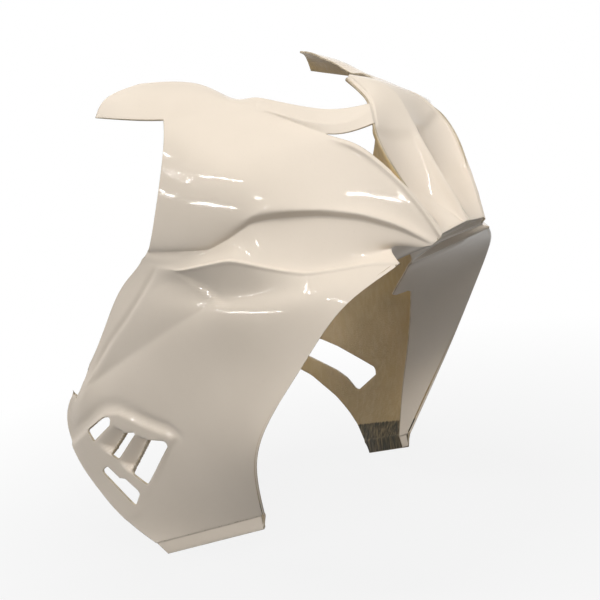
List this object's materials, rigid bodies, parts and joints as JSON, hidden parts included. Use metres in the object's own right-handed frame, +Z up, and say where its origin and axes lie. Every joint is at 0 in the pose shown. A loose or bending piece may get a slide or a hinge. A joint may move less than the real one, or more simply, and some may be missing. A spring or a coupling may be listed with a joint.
{
  "type": "motorcycle fairing",
  "caption": "One-piece moulded motorcycle upper fairing with pointed nose, screen opening, air channels, gilled side vent, side slot and turned-in wheel arch.",
  "frame": {"origin": "bottom centre of the bounding box, under the middle of the panel", "axes": "+Z up, nose towards -Y, the rider's left towards +X; the centre plane of the bodywork is X = 0"},
  "size_m": [0.4728, 0.598, 0.6643],
  "materials": {
    "gelcoat": "cream glossy gel coat outside, bare brown laminate inside"
  },
  "bodies": {
    "root": {"fairing_shell": "gelcoat"}
  },
  "joints": []
}
